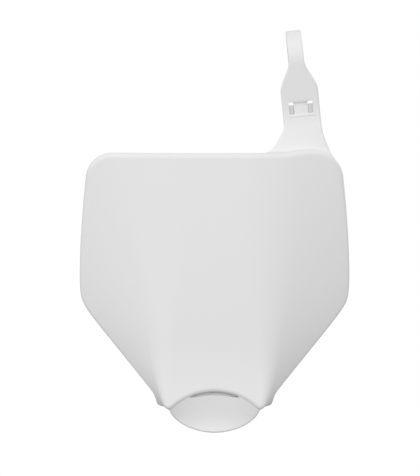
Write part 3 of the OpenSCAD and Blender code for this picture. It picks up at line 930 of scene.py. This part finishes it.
@dataclass
class FenderLug:
    """Curved tongue below the arch, with the crescent slot and the pocket behind it."""

    form: BoardForm = FORM
    width: float = 79.0
    low_tip: float = 34.0
    sink: float = 5.5
    flare: float = 4.0
    flare_power: float = 5.0
    thick: float = 2.4
    lap: float = 7.0
    shoulder: float = 10.0
    wrap: float = 4.0
    slot_w: float = 43.0
    slot_h: float = 3.5
    slot_low_r: float = 90.0
    pocket_gap: float = 7.6
    pocket_h: float = 15.0
    side_angle: float = 88.0
    cut_reach: float = 60.0
    cells_x: int = 72
    cells_z: int = 40
    edge_steps: int = 6

    def arch_z(self, x: Array) -> Array:
        """Height of the arch's edge."""
        return self.form.tip_z + self.form.arch_lift(x)

    def low_z(self, x: Array) -> Array:
        """Height of the lug's lower edge."""
        curve = np.sqrt(np.maximum(0, 1 - (2 * x / self.width) ** 2))
        return -self.shoulder - (self.low_tip - self.thick / 2 - self.shoulder) * curve

    def face_y(self, x: Array, z: Array) -> Array:
        """Depth of the lug's front."""
        arch = self.arch_z(x)
        q = np.maximum(0, (arch - z) / self.low_tip)
        wrap = self.wrap * np.abs(2 * x / self.width) ** 3 * np.minimum(1, 2 * q)
        skin = self.form.face_y(x, np.maximum(z, arch)) + self.form.wall - OVERLAP
        return skin + self.sink * q - self.flare * q**self.flare_power + wrap

    def normal(self, p: Array) -> Array:
        """Outward normals of the lug's front."""
        return surface_normals(self.face_y, p, 0.1)

    def build(self) -> bpy.types.Object:
        """The lug with its round edge and open slot."""
        nx, nz = self.cells_x, self.cells_z
        obj, points = self.grid("fender_lug", nx, nz)
        order = border_loop(nx, nz)
        border = points[order]
        normal = self.normal(border)
        out = away_from(border, normal)
        select_open_edges(obj)
        half = self.thick / 2
        for step in range(1, self.edge_steps + 1):
            turn = math.pi * step / self.edge_steps
            around = out * math.sin(turn) * half + normal * math.cos(turn) * half
            order = extrude_to(obj, order, border - normal * half + around)
        rear, rear_points = self.grid("fender_lug_rear", nx, nz)
        place_points(rear, rear_points - self.normal(rear_points) * self.thick)
        join_skins(obj, rear)
        self.cut_slot(obj)
        return obj

    def grid(self, name: str, nx: int, nz: int) -> tuple[bpy.types.Object, Array]:
        """Grid shaped onto the lug's front, and its points."""
        obj, flat = flat_grid(name, nx, nz)
        x = self.width / 2 * np.sin(np.radians(self.side_angle) * flat[:, 0])
        high = self.arch_z(x) + self.lap
        z = high + (self.low_z(x) - high) * (1 - flat[:, 1]) / 2
        points = np.stack([x, self.face_y(x, z), z], axis=1)
        place_points(obj, points)
        return obj, points

    def cut_slot(self, obj: bpy.types.Object) -> None:
        """Cuts the crescent slot through the lug."""
        crown = float(self.arch_z(np.zeros(1))[0])
        low = crown - self.slot_h
        span = math.asin(self.slot_w / 2 / self.slot_low_r)
        turns = [span * i / 24 for i in range(-24, 25)]
        r = self.slot_low_r
        outline = [(r * math.sin(t), low - r + r * math.cos(t)) for t in turns]
        high = crown + self.form.arch_rise
        outline += [(self.slot_w / 2, high), (-self.slot_w / 2, high)]
        xz = np.array(outline)
        depths = (-self.cut_reach, self.cut_reach)
        rings = [np.stack([xz[:, 0], np.full(len(xz), y), xz[:, 1]], axis=1) for y in depths]
        cutter = sweep("slot_cutter", rings)
        modify(obj, "BOOLEAN", operation="DIFFERENCE", solver="MANIFOLD", object=cutter)
        bpy.data.objects.remove(cutter)

    def pocket(self) -> list[bpy.types.Object]:
        """Pocket behind the slot: rear wall with its floor, and two sides."""
        form, t = self.form, self.thick
        crown = float(self.arch_z(np.zeros(1))[0])
        slot_low = crown - self.slot_h
        floor = slot_low - 4
        levels = np.linspace(floor + t, self.pocket_h, 19)
        skin = form.centre_y(np.maximum(levels, slot_low)) + form.wall
        gap = skin + self.pocket_gap
        base = float(form.centre_y(np.array([slot_low]))[0]) + form.wall + self.pocket_gap
        foot = float(self.face_y(np.zeros(1), np.array([floor]))[0]) + t / 2
        rear = list(zip(gap[::-1] + t, levels[::-1])) + [(base + t, floor), (foot, floor)]
        wall = list(zip(gap, levels)) + rear + [(foot, floor + t)]
        side = list(zip(skin - OVERLAP, levels)) + rear
        found = [prism("pocket_wall", wall, self.slot_w + t)]
        for name, sign in (("left", -1), ("right", 1)):
            found.append(
                prism(f"pocket_side_{name}", side, t, at_x=sign * (self.slot_w + t) / 2)
            )
        return found


@dataclass
class BackRibs:
    """Webs that carry the strap, and ribs that tie the lug to the plate."""

    form: BoardForm = FORM
    path: StrapPath = field(default_factory=lambda: PATH)
    lug: FenderLug = field(default_factory=FenderLug)
    thick: float = 2.0
    web_reach: float = 16.0
    rib_rise: float = 16.0
    rib_depth: float = 4.5

    def strap_web(self, name: str, offset: float) -> bpy.types.Object:
        """Web under the top flange, at an offset from the strap's middle."""
        form, path = self.form, self.path
        x = np.array([form.strap_x + offset])
        y = float(form.face_y(x, np.array([form.grid_top]))[0]) + form.wall - OVERLAP
        turn_end = path.starts[2][0]
        heel = path.root[1] + path.at(turn_end)[0][0] + path.foot_shift(x, turn_end)[0, 1] + OVERLAP
        outline = [
            (y, 0.5),
            (y, -self.web_reach),
            (y + 2, -self.web_reach),
            (heel, -1),
            (heel + 1.2, form.wall + 6),
            (heel, form.wall + 6),
            (heel, 0.5),
        ]
        base = form.top_z - form.wall + float(form.neck_lift(x)[0])
        outline = [(a, b + base) for a, b in outline]
        return prism(name, outline, self.thick, at_x=float(x[0]))

    def lug_rib(self, name: str, side: int) -> bpy.types.Object:
        """Upright rib behind one end of the lug."""
        form, lug = self.form, self.lug
        x = np.array([(lug.slot_w + lug.width) / 4 + 1])
        arch = float(lug.arch_z(x)[0])
        top, low = arch + lug.lap + self.rib_rise, float(lug.low_z(x)[0]) + 5
        levels = np.linspace(low, top, 25)
        many = np.full_like(levels, x[0])
        plate = form.face_y(many, levels) + form.wall
        back = np.where(levels > arch + lug.lap, plate, lug.face_y(many, levels) + lug.thick) - 0.6
        crest = back + 1 + self.rib_depth * np.sin(np.linspace(0, math.pi, 25))
        outline = list(zip(back, levels)) + list(zip(crest[::-1], levels[::-1]))
        return prism(name, outline, self.thick, at_x=side * float(x[0]))

    def build(self) -> list[bpy.types.Object]:
        """All webs and ribs."""
        quarter = self.path.paddle_w / 4
        return [
            self.strap_web("strap_web_inner", -quarter),
            self.strap_web("strap_web_outer", quarter),
            self.lug_rib("lug_rib_left", -1),
            self.lug_rib("lug_rib_right", 1),
        ]


@dataclass
class MouldMarks:
    """Round marks that ejector pins and the gate leave on the rear of the plate."""

    form: BoardForm = FORM
    pin_r: float = 4.2
    pin_proud: float = 0.5
    gate_r: float = 2.2
    gate_proud: float = 1.1
    rows: tuple[tuple[float, float], ...] = ((206, 60), (132, 72), (66, 44))
    gate_z: float = 150.0
    sides: int = 32

    def disc(self, name: str, x: float, z: float, r: float, proud: float) -> bpy.types.Object:
        """Disc that lies on the rear of the plate and follows its curve."""
        turns = np.linspace(0, 2 * math.pi, self.sides, endpoint=False)
        across, up = x + r * np.cos(turns), z + r * np.sin(turns)
        rear = self.form.face_y(across, up) + self.form.wall
        return sweep(name, [np.stack([across, rear + h, up], axis=1) for h in (-0.8, proud)])

    def build(self) -> list[bpy.types.Object]:
        """All marks."""
        found = [self.disc("gate_mark", 0.0, self.gate_z, self.gate_r, self.gate_proud)]
        for z, x in self.rows:
            for side in (-1, 1):
                name = f"pin_mark_{round(side * x)}_{round(z)}"
                found.append(self.disc(name, side * x, z, self.pin_r, self.pin_proud))
        return found


def join_skins(front: bpy.types.Object, rear: bpy.types.Object) -> None:
    """Turns the rear skin round and joins it to the front skin at their shared border."""
    for polygon in rear.data.polygons:
        polygon.flip()
    pick(front)
    rear.select_set(True)
    bpy.ops.object.join()
    start_edit(front)
    bpy.ops.mesh.select_all(action="SELECT")
    bpy.ops.mesh.remove_doubles(threshold=0.005 * MM)
    end_edit()
    face_outwards(front)


def fuse(shell: bpy.types.Object, pieces: list[bpy.types.Object]) -> bpy.types.Object:
    """Makes one moulding of the shell and the pieces that grow from it."""
    for piece in pieces:
        modify(shell, "BOOLEAN", operation="UNION", solver="MANIFOLD", object=piece)
        bpy.data.objects.remove(piece)
    return drop_slivers(shell)


def drop_slivers(shell: bpy.types.Object) -> bpy.types.Object:
    """Keeps the one large body and removes the slivers that the unions leave beside it."""
    start_edit(shell)
    bpy.ops.mesh.select_all(action="SELECT")
    bpy.ops.mesh.separate(type="LOOSE")
    end_edit()
    parts = list(bpy.context.selected_objects)
    body = max(parts, key=lambda part: len(part.data.vertices))
    for part in parts:
        if part != body:
            bpy.data.objects.remove(part)
    return body


# Finishes


class Signal:
    """A shader socket that takes part in Python expressions on values."""

    def __init__(self, tree: "FinishTree", socket: bpy.types.NodeSocket) -> None:
        """Wraps an output socket of a finish."""
        self.tree = tree
        self.socket = socket

    def _math(self, operation: str, *values: Any) -> "Signal":
        """Adds a Math node on values and sockets."""
        return self.tree.add("Math", {"operation": operation}, dict(enumerate(values)))

    def __add__(self, other: Any) -> "Signal":
        """Sum."""
        return self._math("ADD", self, other)

    def __radd__(self, other: Any) -> "Signal":
        """Sum, from the right."""
        return self._math("ADD", other, self)

    def __sub__(self, other: Any) -> "Signal":
        """Difference."""
        return self._math("SUBTRACT", self, other)

    def __rsub__(self, other: Any) -> "Signal":
        """Difference, from the right."""
        return self._math("SUBTRACT", other, self)

    def __mul__(self, other: Any) -> "Signal":
        """Product."""
        return self._math("MULTIPLY", self, other)

    def __rmul__(self, other: Any) -> "Signal":
        """Product, from the right."""
        return self._math("MULTIPLY", other, self)

    def greater(self, other: Any) -> "Signal":
        """Greater of two values."""
        return self._math("MAXIMUM", self, other)


class FinishTree:
    """The node tree of a material or a world, built from expressions."""

    def __init__(self, owner: bpy.types.Material | bpy.types.World) -> None:
        """Empties the tree of a new material or world."""
        self.owner = owner
        owner.use_nodes = True
        self.tree = owner.node_tree
        self.tree.nodes.clear()

    def add(
        self,
        kind: str,
        settings: dict[str, Any] | None = None,
        inputs: dict[str | int, Any] | None = None,
        output: str | int = 0,
    ) -> Signal:
        """Adds a shader node.

        Args:
            kind: the node's type without its ShaderNode prefix.
            settings: the node's own properties, which are set first.
            inputs: values or signals for its sockets, by name or number.
            output: the socket that the result wraps.

        Returns:
            The wrapped output socket.
        """
        node = self.tree.nodes.new("ShaderNode" + kind)
        for key, value in (settings or {}).items():
            setattr(node, key, value)
        for key, value in (inputs or {}).items():
            if isinstance(value, Signal):
                self.tree.links.new(value.socket, node.inputs[key])
            else:
                node.inputs[key].default_value = value
        return Signal(self, node.outputs[output] if node.outputs else None)

    def mix_colour(self, share: Any, a: tuple[float, ...], b: tuple[float, ...]) -> Signal:
        """Mixes two colours by a value."""
        settings = {"data_type": "RGBA"}
        return self.add("Mix", settings, {0: share, 6: (*a, 1.0), 7: (*b, 1.0)}, output=2)

    def noise(self, where: Signal, scale: float, detail: float = 2, rough: float = 0.5) -> Signal:
        """Noise from 0 to 1 on a place, with a scale in features a metre."""
        inputs = {"Vector": where, "Scale": scale, "Detail": detail, "Roughness": rough}
        return self.add("TexNoise", {"noise_dimensions": "3D"}, inputs)

    def finish(self, surface: Signal, kind: str = "Material") -> bpy.types.Material:
        """Joins the surface to the output of its kind and returns the material or world."""
        self.add("Output" + kind, {}, {"Surface": surface})
        return self.owner


@dataclass(frozen=True)
class MouldedPlastic:
    """White polypropylene as it comes from the mould."""

    name: str
    colour: tuple[float, float, float] = (0.8, 0.8, 0.8)
    shade: tuple[float, float, float] = (0.775, 0.776, 0.775)
    roughness: float = 0.36
    roughness_range: float = 0.1
    grain: float = 2600.0
    grain_height: float = 0.000012
    flow: float = 14.0
    flow_height: float = 0.00005
    ior: float = 1.49

    def material(self) -> bpy.types.Material:
        """The material: fine grain, slow waves of the mould's skin and uneven gloss."""
        tree = FinishTree(bpy.data.materials.new(self.name))
        place = tree.add("TexCoord", output="Object")
        grain = tree.noise(place, self.grain, detail=3, rough=0.6)
        flow = tree.noise(place, self.flow, detail=2)
        cloud = tree.noise(place, self.flow * 3, detail=4, rough=0.6)
        wave = tree.add(
            "Bump", {}, {"Strength": 1.0, "Distance": self.flow_height, "Height": flow}
        )
        skin = tree.add(
            "Bump",
            {},
            {"Strength": 1.0, "Distance": self.grain_height, "Height": grain, "Normal": wave},
        )
        low = self.roughness - self.roughness_range / 2
        shader = tree.add(
            "BsdfPrincipled",
            {},
            {
                "Base Color": tree.mix_colour(cloud, self.colour, self.shade),
                "Roughness": low + (0.6 * cloud + 0.4 * grain) * self.roughness_range,
                "IOR": self.ior,
                "Normal": skin,
            },
        )
        return tree.finish(shader)


class Finish(Enum):
    """The finishes of the moulding's sides."""

    POLISHED = MouldedPlastic("white_polished_face")
    SATIN = MouldedPlastic(
        "white_satin_back", roughness=0.5, roughness_range=0.14, grain_height=0.00003
    )


# Studio

WHITE = (1.0, 1.0, 1.0, 1.0)


@dataclass(frozen=True)
class Softbox:
    """Square soft lamp that looks at the board."""

    name: str
    place: tuple[float, float, float]
    size: float
    power: float

    def build(self, target: tuple[float, float, float]) -> bpy.types.Object:
        """The lamp, turned towards the target."""
        aim = Vector(target) - Vector(self.place)
        bpy.ops.object.light_add(type="AREA", location=self.place)
        obj = named_active(self.name)
        obj.rotation_euler = aim.to_track_quat("-Z", "Y").to_euler()
        obj.data.shape = "SQUARE"
        obj.data.size = self.size
        obj.data.energy = self.power
        return obj


@dataclass
class Studio:
    """Plain pale room, soft lamps and the camera in front of the board."""

    camera_distance: float = 10.0
    frame_height_px: float = 476.0
    mm_per_px: float = 0.892
    centre_x: float = -4.1
    centre_z: float = 139.15
    sensor: float = 36.0
    floor_drop: float = 0.09
    floor_size: float = 4.0
    floor_bounce: float = 0.3
    floor_glow: float = 0.35
    ambient: float = 0.665
    target: tuple[float, float, float] = (0.0, 0.0, 0.12)
    lamps: tuple[Softbox, ...] = (
        Softbox("front_lamp", (0.0, -6.0, 1.2), 3.0, 150.0),
        Softbox("left_lamp", (-2.0, -0.9, 0.4), 1.2, 2.5),
        Softbox("upper_left_lamp", (-1.5, -0.9, 1.5), 1.4, 5.9),
        Softbox("rear_lamp", (1.8, 1.8, 1.5), 1.0, 26.0),
    )

    def camera(self) -> bpy.types.Object:
        """Level camera straight in front, framed as the photograph."""
        bpy.ops.object.camera_add(
            location=(self.centre_x * MM, -self.camera_distance, self.centre_z * MM),
            rotation=(math.pi / 2, 0, 0),
        )
        obj = bpy.context.object
        obj.data.sensor_width = self.sensor
        view = self.frame_height_px * self.mm_per_px * MM
        obj.data.lens = self.sensor * self.camera_distance / view
        bpy.context.scene.camera = obj
        return obj

    def seen_directly(self, tree: FinishTree) -> Signal:
        """1 where the camera, a mirror or glass sees a surface, and 0 for its bounced light."""
        found = tree.add("LightPath", output="Is Camera Ray")
        node = found.socket.node
        for ray in ("Is Glossy Ray", "Is Transmission Ray"):
            found = found.greater(Signal(tree, node.outputs[ray]))
        return found

    def floor(self, low_z: float) -> bpy.types.Object:
        """Plain floor below the board, nearly white where fully lit, with the board's shadow."""
        bpy.ops.object.select_all(action="DESELECT")
        bpy.ops.mesh.primitive_plane_add(
            size=self.floor_size, location=(0, 0, low_z - self.floor_drop)
        )
        obj = named_active("floor")
        bpy.ops.object.transform_apply(location=True, rotation=False, scale=False)
        tree = FinishTree(bpy.data.materials.new("pale_floor"))
        bounced = tree.add("BsdfDiffuse", {}, {"Color": (self.floor_bounce,) * 3 + (1.0,)})
        lit = tree.add("BsdfDiffuse", {}, {"Color": WHITE})
        glow = tree.add("Emission", {}, {"Color": WHITE, "Strength": 1.0})
        shown = tree.add("MixShader", {}, {0: self.floor_glow, 1: lit, 2: glow})
        surface = tree.add("MixShader", {}, {0: self.seen_directly(tree), 1: bounced, 2: shown})
        obj.data.materials.append(tree.finish(surface))
        return obj

    def world(self) -> None:
        """White surroundings that light the board evenly and softly."""
        tree = FinishTree(bpy.data.worlds.new("pale_room"))
        light = tree.add("Background", {}, {"Color": WHITE, "Strength": self.ambient})
        white = tree.add("Background", {}, {"Color": WHITE, "Strength": 1.0})
        surface = tree.add("MixShader", {}, {0: self.seen_directly(tree), 1: light, 2: white})
        bpy.context.scene.world = tree.finish(surface, "World")

    def build(self, low_z: float) -> None:
        """Sets up camera, lamps, floor and world."""
        self.camera()
        self.world()
        self.floor(low_z)
        for lamp in self.lamps:
            lamp.build(self.target)
        bpy.context.scene.view_settings.view_transform = "Standard"


def dress(obj: bpy.types.Object, materials: list[bpy.types.Material]) -> None:
    """Gives the moulding its polished front and satin back, by each face's direction."""
    for material in materials:
        obj.data.materials.append(material)
    for polygon in obj.data.polygons:
        polygon.material_index = 1 if polygon.normal.y > 0.35 else 0
    pick(obj)
    bpy.ops.object.shade_smooth_by_angle(angle=math.radians(35))


def settle(obj: bpy.types.Object) -> None:
    """Puts a finished piece on the body, and reports it."""
    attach(obj, BODY)
    log.info("%s: %d faces", obj.name, len(obj.data.polygons))


def main() -> None:
    """Builds the board, dresses it and sets up the studio."""
    logging.basicConfig(level=logging.INFO, format="%(name)s: %(message)s")
    materials = [finish.value.material() for finish in Finish]
    lug = FenderLug()
    pieces = [BarStrap().build(), *Buckle().build(), TailTeeth().build()]
    pieces += [lug.build(), *lug.pocket(), *BackRibs().build(), *MouldMarks().build()]
    shell = fuse(FacePlate().build(), pieces)
    shell.name = shell.data.name = "number_board_moulding"
    dress(shell, materials)
    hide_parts(NODE)
    settle(shell)
    Studio().build(cad_box[0][2])


if __name__ == "__main__":
    main()
